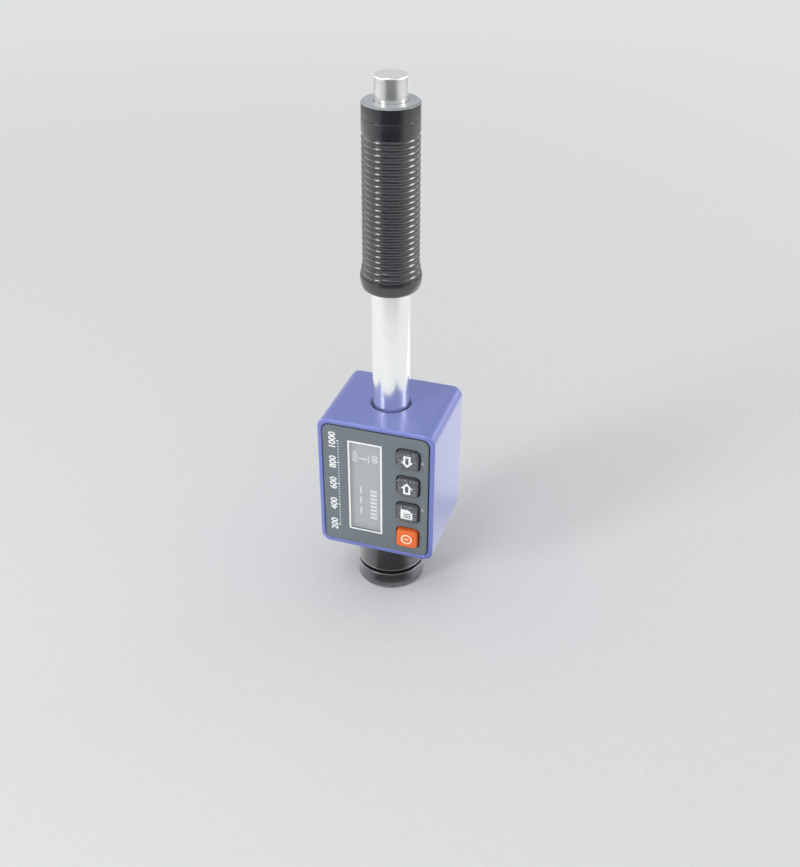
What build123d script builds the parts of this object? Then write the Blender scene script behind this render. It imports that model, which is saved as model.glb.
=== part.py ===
from build123d import *
import os
from math import cos, pi, sin, sqrt

# A pen hardness tester: an impact device with its readout box clamped around the guide tube.
# Millimetres. The Z axis is the pen's axis, z = 0 is the foot of the support ring, and the panel faces -Y.

# Clearances
slide_gap = 0.07  # radial, between pieces that slide on one another
press_gap = 0.02  # radial, between pieces that are screwed or pressed together
stop_gap = 0.1  # along the travel, between a moving piece and its stop
free_gap = 0.2  # around a piece that must not rub

# Support ring, neck and coil collar
ring_height = 5.3
ring_step = 0.2  # how far the ring stands inside the collar
ring_wall = 2.3  # outside the screwed neck
ring_lip = 2.2  # bottom of the ring, which keeps the impact body in
ring_relief = 0.3
ring_contact_width = 4.8
ring_edge_radius = 0.35
ring_foot_chamfer = 0.3
groove_height = 1.2
collar_height = 11.0
collar_wall = 1.35
collar_roof = 2.2
collar_edge_radius = 0.7
plug_height = 1.6
tube_seat = 0.8
spigot_wall = 1.18
spigot_height = 6.0
nut_height = 2.5
nut_wall = 1.7
nut_notch_width = 2.0
nut_notch_count = 4

# Coil around the guide tube
hub_gap = 0.1
hub_wall = 0.6
winding_depth = 2.4
bobbin_flange = 0.7
bobbin_rim = 0.35
bobbin_play = 0.3
coil_lead_radius = 0.5
lead_slot_width = 1.6
lead_rise = 3.7  # above the spigot

# Guide tube
guide_bore_radius = 3.6
tube_wall = 1.5
tube_exposed = 34.8  # between the box and the sleeve
tube_shoulder = 6.7  # above the sleeve's foot
tube_end_gap = 0.5  # left above the tube when the sleeve is down
spring_seat = 0.9
seal_width = 0.3
seal_flange = 1.2
seal_flange_height = 1.0
seal_recess = 0.65

# Impact body
body_length = 16.7
body_chamfer = 0.4
knob_neck_radius = 1.2
knob_neck_length = 3.2
knob_height = 2.8
ball_radius = 1.5
ball_rise = 0.12  # tip above the foot plane
ball_wall = 0.25
ball_grip = 0.8
holder_step = 0.55
holder_backing = 1.15
magnet_length = 4.0

# Catch chuck, its rod and the release pin
chuck_gap = 1.6
chuck_lip = 1.2
chuck_wall = 0.8
chuck_headroom = 1.5
chuck_top = 2.0
jaw_count = 3
jaw_slot = 0.9
knob_gap = 0.2
pin_radius = 1.1
pin_recess = 1.2
rod_wall = 0.73
flange_height = 2.2
bush_height = 6.0

# Springs
impact_wire = 0.4
impact_spring_length = 18.6
impact_turns = 9
loading_wire = 0.6
loading_turns = 9
button_wire = 0.5
button_spring_radius = 2.9
button_turns = 5

# Loading sleeve, cap and release button
stroke = 24.0
sleeve_length = 43.85
bush_wall = 0.65
bush_length = 7.2
bush_recess = 0.5
grip_root_wall = 1.11
rib_count = 24
rib_height = 0.25
rib_groove = 0.12
rib_top_gap = 0.74
rib_taper = 0.2
foot_flare = 0.57
foot_flare_height = 3.4
foot_height = 3.81
foot_draw_in = 0.47
foot_bulge = 0.19
foot_chamfer = 0.55
band_height = 3.25
sleeve_seat_wall = 0.9
seam_chamfer = 0.12
cap_height = 3.85
cap_chamfer = 0.5
cap_lip = 3.5
button_radius = 4.1
button_rise = 6.0
button_travel = 2.2
button_end_gap = 0.25  # left below the button when it is pressed
button_flange = 0.75
button_flange_height = 1.8
button_edge_radius = 0.6
button_pocket_depth = 5.0
pin_grip = 3.0

# Box
housing_width = 33.5
housing_depth = 28.0
housing_height = 42.0
housing_corner = 3.0
housing_wall = 2.2
cavity_corner = 1.5
rim_wall = 1.4
tube_hole_chamfer = 0.5
rim_chamfer = 0.4
rim_inner_chamfer = 0.25
rim_corner = 2.2
column_radius = 1.9
column_sink = 0.1
cover_thickness = 1.5
cover_gap = 0.1

# Front panel, window and keys
panel_rise = 0.2  # in front of the rim
panel_thickness = 1.2
panel_gap = 0.22
panel_edge = 0.15
title_strip = 7.2
window_top_margin = 3.85
window_bottom_margin = 4.8
window_key_gap = 4.5
window_gap = 0.05
window_recess = 0.05
key_names = ("key_down", "key_up", "key_page", "key_power")
key_width = 6.0
key_height = 5.7
key_corner = 1.0
key_edge_radius = 0.45
key_rise = 1.3
key_gap = 0.45
key_travel = 0.6
key_flange = 1.0
key_flange_thickness = 0.7
key_foot_inset = 0.8
key_foot_gap = 0.15
key_side_margin = 2.6
key_top_margin = 3.7
key_bottom_margin = 3.0

# Electronics
lcd_border = 0.9
lcd_gap = 0.1
board_thickness = 1.0
board_tube_gap = 2.1
board_edge_gap = 0.25
board_nut_gap = 0.4
mat_thickness = 1.6
mat_gap = 0.3
well_gap = 0.4
chip_height = 1.0
chip_width = 6.0
chip_lengths = (7.0, 5.0, 5.0)
chip_drops = (6.0, -5.0, -8.0)  # below the middle of the box
chip_sides = (1, 1, -1)
chip_inset = 4.6  # from the cavity's side wall to the middle of a chip
usb_width = 7.7
usb_thickness = 3.8
usb_depth = 8.9
usb_wall = 0.4
usb_socket_depth = 6.5
usb_tongue_thickness = 1.2
usb_tongue_width = 4.8
usb_tongue_length = 5.0
usb_recess = 0.5
usb_gap = 0.15
usb_drop = 7.5
battery_tube_gap = 1.2
battery_side_gap = 0.8
battery_column_gap = 0.6
battery_corner = 1.2
pad_thickness = 1.2
pad_inset = 4.0
battery_lead_radius = 0.6
battery_lead_run = 4.2
battery_lead_bend = 4.0
battery_lead_inset = 4.0
battery_lead_rises = (7.2, 11.2)  # above the middle of the box, at the battery and at the board

# Screws
cover_screw_radius = 0.98
cover_screw_length = 6.0
cover_screw_head = 1.9
cover_screw_recess = 0.05
board_screw_radius = 0.68
board_screw_length = 4.0
board_screw_head = 1.3
board_screw_head_height = 0.9
screw_recess = 1.3  # length of the driver's recess, in head radii
screw_recess_width = 0.45
screw_recess_depth = 0.45

# Radii, from the axis outwards
tube_radius = guide_bore_radius + tube_wall
impact_radius = guide_bore_radius - slide_gap
impact_spring_radius = guide_bore_radius - stop_gap - impact_wire / 2
chuck_radius = impact_spring_radius - impact_wire / 2 - free_gap
chuck_bore = chuck_radius - chuck_wall
knob_radius = chuck_bore - knob_gap
rod_bore = pin_radius + slide_gap
rod_radius = rod_bore + rod_wall
pocket_radius = ball_radius + ball_wall
holder_radius = pocket_radius + holder_step
hub_bore = tube_radius + hub_gap
hub_radius = hub_bore + hub_wall
winding_radius = hub_radius + winding_depth
bobbin_radius = winding_radius + bobbin_rim
chamber_radius = bobbin_radius + hub_gap
collar_radius = chamber_radius + collar_wall
ring_radius = collar_radius - ring_step
neck_radius = ring_radius - ring_wall
spigot_radius = tube_radius + press_gap + spigot_wall
nut_radius = spigot_radius + press_gap + nut_wall
seal_radius = tube_radius + press_gap + seal_width
spigot_end_radius = tube_radius - spring_seat
loading_spring_radius = spigot_end_radius + free_gap + loading_wire / 2
sleeve_bore = loading_spring_radius + loading_wire / 2 + free_gap
bush_bore = tube_radius + slide_gap
bush_radius = bush_bore + bush_wall
grip_root = bush_radius + press_gap + grip_root_wall
grip_radius = grip_root + rib_height
foot_radius = grip_radius + rib_taper + foot_flare
sleeve_seat_radius = grip_root - sleeve_seat_wall
button_flange_radius = button_radius + button_flange
cap_bore = button_flange_radius + free_gap
button_pocket_radius = button_spring_radius + button_wire / 2 + free_gap

# Heights, from the foot upwards
ball_height = ball_rise + ball_radius
collar_base = ring_height + groove_height
plug_base = collar_base + stop_gap
plug_end = plug_base + plug_height
tube_base = plug_end - tube_seat
housing_base = collar_base + collar_height
chamber_roof = housing_base - collar_roof
bobbin_base = plug_end + stop_gap
bobbin_end = chamber_roof - bobbin_play
housing_top = housing_base + housing_height
housing_mid = (housing_base + housing_top) / 2
nut_base = housing_base + housing_wall
nut_end = nut_base + nut_height
sleeve_base = housing_top + tube_exposed
seam = sleeve_base + sleeve_length
cap_end = seam + cap_height
button_end = cap_end + button_rise
lip_base = cap_end - cap_lip
button_flange_end = lip_base - stop_gap
button_base = button_flange_end - button_flange_height
button_roof = button_base + button_pocket_depth
cap_foot = button_base - button_travel - button_end_gap
flange_end = cap_foot - press_gap
flange_base = flange_end - flange_height
shoulder = sleeve_base + tube_shoulder
tube_end = flange_base - stroke - tube_end_gap
bush_base = sleeve_base + bush_recess
bush_end = bush_base + bush_length
foot_end = sleeve_base + foot_height
band_base = seam - band_height
body_base = ring_lip + stop_gap
body_end = body_base + body_length
knob_base = body_end + knob_neck_length
knob_end = knob_base + knob_height
chuck_base = body_end + chuck_gap + stroke
chuck_roof = knob_end + chuck_headroom + stroke
chuck_end = chuck_roof + chuck_top
stop_base = chuck_end + stop_gap
stop_end = stop_base + bush_height
pin_base = chuck_roof + pin_recess
pin_end = button_roof + pin_grip

# Depths through the box, from the front to the back
housing_front = -housing_depth / 2
housing_back = housing_depth / 2
panel_front = housing_front - panel_rise
panel_back = panel_front + panel_thickness
board_back = -(tube_radius + board_tube_gap)
board_front = board_back - board_thickness
lcd_front = panel_back + lcd_gap
key_front = panel_front - key_rise
key_flange_front = panel_back + stop_gap
key_flange_back = key_flange_front + key_flange_thickness
key_foot_back = board_front - key_travel - key_foot_gap
battery_front = tube_radius + battery_tube_gap
cover_front = housing_back - cover_thickness
battery_back = cover_front - pad_thickness

# Layout across the box
cavity_width = housing_width - 2 * housing_wall
cavity_height = housing_height - 2 * housing_wall
opening_width = housing_width - 2 * rim_wall
opening_height = housing_height - 2 * rim_wall
panel_width = opening_width - 2 * panel_gap
panel_height = opening_height - 2 * panel_gap
key_x = panel_width / 2 - key_side_margin - key_width / 2
panel_top = housing_mid + panel_height / 2
panel_bottom = housing_mid - panel_height / 2
key_top = panel_top - key_top_margin - key_height / 2
key_bottom = panel_bottom + key_bottom_margin + key_height / 2
key_pitch = (key_top - key_bottom) / (len(key_names) - 1)
key_places = [(key_x, key_top - step * key_pitch) for step in range(len(key_names))]
window_left = -panel_width / 2 + title_strip
window_right = key_x - key_width / 2 - window_key_gap
window_width = window_right - window_left
window_height = panel_height - window_top_margin - window_bottom_margin
window_x = (window_left + window_right) / 2
window_z = panel_bottom + window_bottom_margin + window_height / 2
column_x = cavity_width / 2 - column_radius + column_sink
column_z = cavity_height / 2 - column_radius + column_sink
columns = [(x, housing_mid + z) for x in (-column_x, column_x) for z in (-column_z, column_z)]
usb_y = board_back + usb_thickness / 2
usb_z = housing_mid - usb_drop
usb_mouth = -housing_width / 2 + usb_recess
battery_width = cavity_width - 2 * battery_side_gap
battery_height = 2 * (column_z - column_radius - battery_column_gap)
battery_lead_x = cavity_width / 2 - battery_lead_inset
battery_lead_low, battery_lead_high = [housing_mid + rise for rise in battery_lead_rises]

# Which end of a cylinder or a box stands on its place
STANDING = (Align.CENTER, Align.CENTER, Align.MIN)
FROM_MOUTH = (Align.MIN, Align.CENTER, Align.CENTER)
ON_BOARD = (Align.CENTER, Align.MIN, Align.CENTER)


def across(y):
    """The plane across the box at depth y: X to the right, Z up, normal to the front."""
    return Plane.XZ.offset(-y)


def turned(*outline):
    """A closed outline of (radius, height) points, turned about the pen's axis."""
    with BuildPart() as blank:
        with BuildSketch(Plane.XZ):
            with BuildLine():
                Polyline(*outline, close=True)
            make_face()
        revolve(axis=Axis.Z)
    return blank.part


def tube(outer, inner, base, end):
    """A plain turned ring."""
    return turned((inner, base), (outer, base), (outer, end), (inner, end))


def coil_spring(radius, wire, base, end, turns):
    """A round wire swept along a helix, which is drawn as two tangent arcs for each half turn."""
    low = base + wire / 2
    rise = (end - base - wire) / (2 * pi * turns)

    def point(angle):
        return Vector(radius * cos(angle), radius * sin(angle), low + rise * angle)

    def heading(angle):
        return Vector(-radius * sin(angle), radius * cos(angle), rise).normalized()

    with BuildPart() as spring:
        with BuildLine() as path:
            for half_turn in range(2 * turns):
                start, finish = half_turn * pi, (half_turn + 1) * pi
                chord = point(finish) - point(start)
                both = heading(start) + heading(finish)
                a = both.dot(both) - 4
                b = -2 * chord.dot(both)
                reach = (-b - sqrt(b * b - 4 * a * chord.dot(chord))) / (2 * a)
                first = point(start) + heading(start) * reach
                second = point(finish) - heading(finish) * reach
                middle = (first + second) * 0.5
                TangentArc(point(start), middle, tangent=heading(start))
                TangentArc(middle, point(finish), tangent=second - first)
        with BuildSketch(Plane(origin=point(0), z_dir=heading(0))):
            Circle(wire / 2)
        sweep(path=path.line)
    return spring.part


def screw(*outline):
    """A cross-head screw that points down from z = 0: its outline turned, then the driver's recess cut."""
    head_radius = outline[1][0]
    with BuildPart() as blank:
        add(turned(*outline))
        with BuildSketch(Plane.XY):
            for angle in (0, 90):
                Rectangle(screw_recess * head_radius, screw_recess_width, rotation=angle)
        extrude(amount=-screw_recess_depth, mode=Mode.SUBTRACT)
    return blank.part


def rubber_key(z):
    """A key with its flange behind the panel and a foot that closes the contact on the board."""
    flange_corner = key_corner + key_flange
    with BuildPart() as key:
        with BuildSketch(across(key_flange_back)):
            with Locations((key_x, z)):
                RectangleRounded(key_width + 2 * key_flange, key_height + 2 * key_flange, flange_corner)
        extrude(amount=key_flange_thickness)
        with BuildSketch(across(key_flange_front)):
            with Locations((key_x, z)):
                RectangleRounded(key_width, key_height, key_corner)
        extrude(amount=key_flange_front - key_front)
        fillet(key.faces().sort_by(Axis.Y)[0].edges(), key_edge_radius)
        with BuildSketch(across(key_foot_back)):
            with Locations((key_x, z)):
                RectangleRounded(key_width - 2 * key_foot_inset, key_height - 2 * key_foot_inset, key_corner)
        extrude(amount=key_foot_back - key_flange_back)
    return key.part


# Nose: ring, neck, collar and nut
with BuildPart() as support_ring:
    add(tube(ring_radius, holder_radius + 2 * free_gap, 0, ring_height))
    with Locations((0, 0, ring_height)):
        Hole(neck_radius + press_gap, ring_height - ring_lip)
    with Locations((0, 0, 0)):
        Hole(ring_radius - ring_contact_width, ring_relief)
    outer_edges = support_ring.edges().filter_by(GeomType.CIRCLE).sort_by(SortBy.RADIUS)[-2:]
    fillet(outer_edges.sort_by(Axis.Z)[-1], ring_edge_radius)
    outer_edges = support_ring.edges().filter_by(GeomType.CIRCLE).filter_by_position(Axis.Z, 0, 0)
    chamfer(outer_edges.sort_by(SortBy.RADIUS)[-1], ring_foot_chamfer)

with BuildPart() as nose_adapter:
    add(
        turned(
            (guide_bore_radius, body_base),
            (neck_radius, body_base),
            (neck_radius, plug_base),
            (chamber_radius - press_gap, plug_base),
            (chamber_radius - press_gap, plug_end),
            (tube_radius + press_gap, plug_end),
            (tube_radius + press_gap, tube_base),
            (guide_bore_radius, tube_base),
        )
    )

with BuildPart() as coil_housing:
    add(
        turned(
            (chamber_radius, collar_base),
            (collar_radius, collar_base),
            (collar_radius, housing_base),
            (spigot_radius, housing_base),
            (spigot_radius, housing_base + spigot_height),
            (tube_radius + press_gap, housing_base + spigot_height),
            (tube_radius + press_gap, chamber_roof),
            (chamber_radius, chamber_roof),
        )
    )
    foot_edges = coil_housing.edges().filter_by(GeomType.CIRCLE).group_by(Axis.Z)[0]
    fillet(foot_edges.sort_by(SortBy.RADIUS)[-1], collar_edge_radius)
    with BuildSketch(Plane.XY.offset(chamber_roof)):
        with Locations((0, -tube_radius)):
            Rectangle(lead_slot_width, 2 * (spigot_radius - tube_radius))
    extrude(amount=collar_roof + spigot_height, mode=Mode.SUBTRACT)

with BuildPart() as collar_nut:
    add(tube(nut_radius, spigot_radius + press_gap, nut_base, nut_end))
    with BuildSketch(Plane.XY.offset(nut_end)):
        with PolarLocations(nut_radius, nut_notch_count, start_angle=180 / nut_notch_count):
            Rectangle(nut_wall, nut_notch_width)
    extrude(amount=-nut_height / 2, mode=Mode.SUBTRACT)

# Coil: bobbin, winding and lead
with BuildPart() as coil_bobbin:
    add(
        turned(
            (hub_bore, bobbin_base),
            (bobbin_radius, bobbin_base),
            (bobbin_radius, bobbin_base + bobbin_flange),
            (hub_radius, bobbin_base + bobbin_flange),
            (hub_radius, bobbin_end - bobbin_flange),
            (bobbin_radius, bobbin_end - bobbin_flange),
            (bobbin_radius, bobbin_end),
            (hub_bore, bobbin_end),
        )
    )

with BuildPart() as induction_coil:
    winding_base = bobbin_base + bobbin_flange + press_gap
    winding_end = bobbin_end - bobbin_flange - press_gap
    add(tube(winding_radius, hub_radius + press_gap, winding_base, winding_end))

with BuildPart() as coil_lead:
    lead_y = -(tube_radius + spigot_radius) / 2
    lead_z = housing_base + spigot_height + lead_rise
    with BuildLine() as lead_path:
        FilletPolyline(
            (0, lead_y, bobbin_end),
            (0, lead_y, lead_z),
            (0, board_back, lead_z),
            radius=2 * coil_lead_radius,
        )
    with BuildSketch(Plane.XY.offset(bobbin_end)):
        with Locations((0, lead_y)):
            Circle(coil_lead_radius)
    sweep(path=lead_path.line)

# Guide tube with its seal and the bush inside it
with BuildPart() as guide_tube:
    add(
        turned(
            (guide_bore_radius, tube_base),
            (tube_radius, tube_base),
            (tube_radius, shoulder),
            (spigot_end_radius, shoulder),
            (spigot_end_radius, tube_end),
            (guide_bore_radius, tube_end),
        )
    )

with BuildPart() as tube_seal:
    seal_base = housing_top - housing_wall
    add(
        turned(
            (tube_radius + press_gap, seal_base - seal_flange_height),
            (seal_radius + seal_flange, seal_base - seal_flange_height),
            (seal_radius + seal_flange, seal_base),
            (seal_radius, seal_base),
            (seal_radius, housing_top - seal_recess),
            (tube_radius + press_gap, housing_top - seal_recess),
        )
    )

with BuildPart() as stop_bush:
    add(tube(guide_bore_radius - press_gap, rod_radius + slide_gap, stop_base, stop_end))

# Impact body, with the ball in its holder and the magnet behind it
with BuildPart() as impact_body:
    pocket_end = ball_height + ball_radius + press_gap + holder_backing + magnet_length + stop_gap
    add(
        turned(
            (pocket_radius, body_base),
            (impact_radius - body_chamfer, body_base),
            (impact_radius, body_base + body_chamfer),
            (impact_radius, body_end - body_chamfer),
            (impact_radius - body_chamfer, body_end),
            (knob_neck_radius, body_end),
            (knob_neck_radius, knob_base),
            (knob_radius, knob_base),
            (knob_radius, knob_base + knob_height / 2),
            (knob_neck_radius, knob_end),
            (0, knob_end),
            (0, pocket_end),
            (pocket_radius, pocket_end),
        )
    )

with BuildPart() as ball_holder:
    holder_base = ball_height - ball_grip
    plug_top = ball_height + ball_radius + press_gap + holder_backing
    add(
        turned(
            (0, holder_base),
            (holder_radius, holder_base),
            (holder_radius, body_base),
            (pocket_radius - press_gap, body_base),
            (pocket_radius - press_gap, plug_top),
            (0, plug_top),
        )
    )
    with Locations((0, 0, ball_height)):
        Sphere(ball_radius + press_gap, mode=Mode.SUBTRACT)

with BuildPart() as impact_ball:
    with Locations((0, 0, ball_height)):
        Sphere(ball_radius)

with BuildPart() as impact_magnet:
    with Locations((0, 0, plug_top)):
        Cylinder(pocket_radius - press_gap, magnet_length, align=STANDING)

# Chuck that lifts the impact body, its rod, and the pin that opens it
with BuildPart() as catch_chuck:
    add(
        turned(
            (knob_radius + stop_gap, chuck_base),
            (chuck_radius, chuck_base),
            (chuck_radius, chuck_end),
            (rod_radius + press_gap, chuck_end),
            (rod_radius + press_gap, chuck_roof),
            (chuck_bore, chuck_roof),
            (chuck_bore, chuck_base + chuck_lip),
            (knob_radius + stop_gap, chuck_base + chuck_lip),
        )
    )
    with BuildSketch(Plane.XY.offset(chuck_base)):
        with PolarLocations(chuck_radius, jaw_count):
            Rectangle(2 * chuck_radius, jaw_slot)
    extrude(amount=chuck_roof - chuck_base, mode=Mode.SUBTRACT)

with BuildPart() as chuck_rod:
    add(
        turned(
            (rod_bore, chuck_roof),
            (rod_radius, chuck_roof),
            (rod_radius, flange_base),
            (sleeve_seat_radius - press_gap, flange_base),
            (sleeve_seat_radius - press_gap, flange_end),
            (rod_bore, flange_end),
        )
    )

with BuildPart() as release_pin:
    with Locations((0, 0, pin_base)):
        Cylinder(pin_radius, pin_end - pin_base, align=STANDING)

# Loading sleeve with its ribs, bush and cap
def crest_radius(z):
    """Radius of the rib crests at that height: a slight taper, then the flare of the foot."""
    taper = rib_taper * (band_base - z) / (band_base - foot_end)
    return grip_radius + taper + foot_flare * max(0, 1 - (z - foot_end) / foot_flare_height)


with BuildPart() as loading_sleeve:
    rib_pitch = (band_base - rib_top_gap - foot_end) / rib_count
    foot_corner = (foot_radius - foot_draw_in, sleeve_base + foot_chamfer)
    with BuildSketch(Plane.XZ):
        with BuildLine():
            Polyline(
                (bush_radius + press_gap, sleeve_base),
                (foot_corner[0] - foot_chamfer, sleeve_base),
                foot_corner,
            )
            SagittaArc(foot_corner, (foot_radius, foot_end), -foot_bulge)
            rib_end = (foot_radius, foot_end)
            for rib in range(rib_count):
                low, middle, high = [foot_end + (rib + share) * rib_pitch for share in (0, 0.5, 1)]
                rib_start = (crest_radius(low) - rib_height, low + rib_groove / 2)
                Line(rib_end, rib_start)
                rib_end = (crest_radius(high) - rib_height, high - rib_groove / 2)
                ThreePointArc(rib_start, (crest_radius(middle), middle), rib_end)
            Polyline(
                rib_end,
                (grip_root, band_base),
                (grip_radius, band_base),
                (grip_radius, seam - seam_chamfer),
                (grip_radius - seam_chamfer, seam),
                (sleeve_seat_radius, seam),
                (sleeve_seat_radius, flange_base),
                (sleeve_bore, flange_base),
                (sleeve_bore, bush_end),
                (bush_radius + press_gap, bush_end),
                (bush_radius + press_gap, sleeve_base),
            )
        make_face()
    revolve(axis=Axis.Z)

with BuildPart() as sleeve_bush:
    add(tube(bush_radius, bush_bore, bush_base, bush_end))

with BuildPart() as sleeve_cap:
    add(
        turned(
            (cap_bore, cap_foot),
            (sleeve_seat_radius - press_gap, cap_foot),
            (sleeve_seat_radius - press_gap, seam),
            (grip_radius - seam_chamfer, seam),
            (grip_radius, seam + seam_chamfer),
            (grip_radius, cap_end - cap_chamfer),
            (grip_radius - cap_chamfer, cap_end),
            (button_radius + slide_gap, cap_end),
            (button_radius + slide_gap, lip_base),
            (cap_bore, lip_base),
        )
    )

with BuildPart() as release_button:
    add(
        turned(
            (button_pocket_radius, button_base),
            (button_flange_radius, button_base),
            (button_flange_radius, button_flange_end),
            (button_radius, button_flange_end),
            (button_radius, button_end),
            (0, button_end),
            (0, pin_end),
            (pin_radius + press_gap, pin_end),
            (pin_radius + press_gap, button_roof),
            (button_pocket_radius, button_roof),
        )
    )
    top_edge = release_button.edges().filter_by(GeomType.CIRCLE).sort_by(Axis.Z)[-1]
    fillet(top_edge, button_edge_radius)

# Springs
impact_spring = coil_spring(
    impact_spring_radius, impact_wire, stop_base - impact_spring_length, stop_base - press_gap, impact_turns
)
loading_spring = coil_spring(
    loading_spring_radius, loading_wire, shoulder + press_gap, flange_base - press_gap, loading_turns
)
button_spring = coil_spring(
    button_spring_radius, button_wire, flange_end + press_gap, button_roof - press_gap, button_turns
)

# Box shell with its screw channels
with BuildPart() as housing:
    with BuildSketch(across(housing_back)):
        with Locations((0, housing_mid)):
            RectangleRounded(housing_width, housing_height, housing_corner)
    extrude(amount=housing_depth)
    chamfer(housing.faces().filter_by(Axis.Y).edges(), rim_chamfer)
    with BuildSketch(across(housing_back)):
        with Locations((0, housing_mid)):
            RectangleRounded(cavity_width, cavity_height, cavity_corner)
    extrude(amount=housing_depth, mode=Mode.SUBTRACT)
    with BuildSketch(across(cover_front)):
        with Locations(*columns):
            Circle(column_radius)
    extrude(amount=cover_front - board_back)
    with BuildSketch(across(panel_back)):
        with Locations((0, housing_mid)):
            RectangleRounded(opening_width, opening_height, rim_corner)
    extrude(amount=panel_back - housing_front, mode=Mode.SUBTRACT)
    with BuildSketch(across(housing_back)):
        with Locations((0, housing_mid)):
            RectangleRounded(opening_width, opening_height, rim_corner)
    extrude(amount=cover_thickness, mode=Mode.SUBTRACT)
    chamfer(housing.faces().sort_by(Axis.Y)[0].inner_wires()[0].edges(), rim_inner_chamfer)
    with Locations((0, 0, housing_top)):
        Hole(seal_radius + press_gap, housing_wall)
    chamfer(housing.faces().sort_by(Axis.Z)[-1].inner_wires().edges(), tube_hole_chamfer)
    with Locations((0, 0, housing_base)):
        Hole(spigot_radius + press_gap, housing_wall)
    with Locations(*[Plane((x, cover_front, z), z_dir=(0, 1, 0)) for x, z in columns]):
        Hole(cover_screw_radius + press_gap, cover_screw_length)
    with Locations(*[Plane((x, board_back, z), z_dir=(0, -1, 0)) for x, z in columns]):
        Hole(board_screw_radius + press_gap, board_screw_length)
    with Locations((-housing_width / 2, usb_y, usb_z)):
        Box(
            2 * housing_wall + usb_gap,
            usb_thickness + 2 * usb_gap,
            usb_width + 2 * usb_gap,
            mode=Mode.SUBTRACT,
        )

# Front panel, window and keys
with BuildPart() as front_panel:
    with BuildSketch(across(panel_back)):
        with Locations((0, housing_mid)):
            RectangleRounded(panel_width, panel_height, rim_corner - panel_gap)
        with Locations((window_x, window_z)):
            Rectangle(window_width, window_height, mode=Mode.SUBTRACT)
        with Locations(*key_places):
            RectangleRounded(
                key_width + 2 * key_gap, key_height + 2 * key_gap, key_corner + key_gap, mode=Mode.SUBTRACT
            )
    extrude(amount=panel_thickness)
    chamfer(front_panel.faces().sort_by(Axis.Y)[0].outer_wire().edges(), panel_edge)

with BuildPart() as display_window:
    with BuildSketch(across(panel_back)):
        with Locations((window_x, window_z)):
            Rectangle(window_width - 2 * window_gap, window_height - 2 * window_gap)
    extrude(amount=panel_thickness - window_recess)

keys = {name: rubber_key(z) for name, (x, z) in zip(key_names, key_places)}

# Display, keypad and board behind the panel
with BuildPart() as lcd_module:
    with BuildSketch(across(board_front)):
        with Locations((window_x, window_z)):
            Rectangle(window_width + 2 * lcd_border, window_height + 2 * lcd_border)
    extrude(amount=board_front - lcd_front)

with BuildPart() as keypad_mat:
    mat_left = window_right + lcd_border + mat_gap
    mat_right = cavity_width / 2 - mat_gap
    with BuildSketch(across(board_front)):
        with Locations(((mat_left + mat_right) / 2, housing_mid)):
            Rectangle(mat_right - mat_left, cavity_height - 2 * mat_gap)
        with Locations(*key_places):
            Rectangle(
                key_width - 2 * key_foot_inset + 2 * well_gap,
                key_height - 2 * key_foot_inset + 2 * well_gap,
                mode=Mode.SUBTRACT,
            )
        with Locations(*columns):
            Rectangle(2 * column_radius, 2 * column_radius, mode=Mode.SUBTRACT)
    extrude(amount=mat_thickness)

with BuildPart() as main_board:
    with BuildSketch(across(board_back)):
        with Locations((0, housing_mid)):
            RectangleRounded(
                cavity_width - 2 * board_edge_gap, cavity_height - 2 * board_edge_gap, cavity_corner
            )
        with Locations(*columns):
            Circle(board_screw_radius + stop_gap, mode=Mode.SUBTRACT)
    extrude(amount=board_thickness)
    with Locations((0, 0, housing_base)):
        Hole(nut_radius + board_nut_gap, nut_end + board_nut_gap - housing_base)

with BuildPart() as board_chips:
    for side, drop, length in zip(chip_sides, chip_drops, chip_lengths):
        with Locations((side * (cavity_width / 2 - chip_inset), board_back, housing_mid - drop)):
            Box(chip_width, chip_height, length, align=ON_BOARD)

with BuildPart() as usb_socket:
    with Locations((usb_mouth, usb_y, usb_z)):
        Box(usb_depth, usb_thickness, usb_width, align=FROM_MOUTH)
        Box(
            usb_socket_depth,
            usb_thickness - 2 * usb_wall,
            usb_width - 2 * usb_wall,
            align=FROM_MOUTH,
            mode=Mode.SUBTRACT,
        )
    with Locations((usb_mouth + usb_socket_depth - usb_tongue_length, usb_y, usb_z)):
        Box(usb_tongue_length, usb_tongue_thickness, usb_tongue_width, align=FROM_MOUTH)

# Battery, its pad and its lead, behind the tube
with BuildPart() as battery:
    with BuildSketch(across(battery_back)):
        with Locations((0, housing_mid)):
            RectangleRounded(battery_width, battery_height, battery_corner)
    extrude(amount=battery_back - battery_front)

with BuildPart() as battery_pad:
    with BuildSketch(across(cover_front)):
        with Locations((0, housing_mid)):
            Rectangle(battery_width - 2 * pad_inset, battery_height - 2 * pad_inset)
    extrude(amount=pad_thickness)

with BuildPart() as battery_lead:
    with BuildLine() as battery_lead_path:
        FilletPolyline(
            (battery_lead_x, battery_front, battery_lead_low),
            (battery_lead_x, battery_front - battery_lead_run, battery_lead_low),
            (battery_lead_x, board_back + battery_lead_run, battery_lead_high),
            (battery_lead_x, board_back, battery_lead_high),
            radius=battery_lead_bend,
        )
    with BuildSketch(across(battery_front)):
        with Locations((battery_lead_x, battery_lead_low)):
            Circle(battery_lead_radius)
    sweep(path=battery_lead_path.line)

# Back cover and the screws
with BuildPart() as back_cover:
    with BuildSketch(across(housing_back)):
        with Locations((0, housing_mid)):
            RectangleRounded(
                opening_width - 2 * cover_gap, opening_height - 2 * cover_gap, rim_corner - cover_gap
            )
    extrude(amount=cover_thickness)
    with Locations(*[Plane((x, housing_back, z), z_dir=(0, 1, 0)) for x, z in columns]):
        CounterSinkHole(cover_screw_radius + stop_gap, cover_screw_head + stop_gap, cover_thickness)

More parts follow.
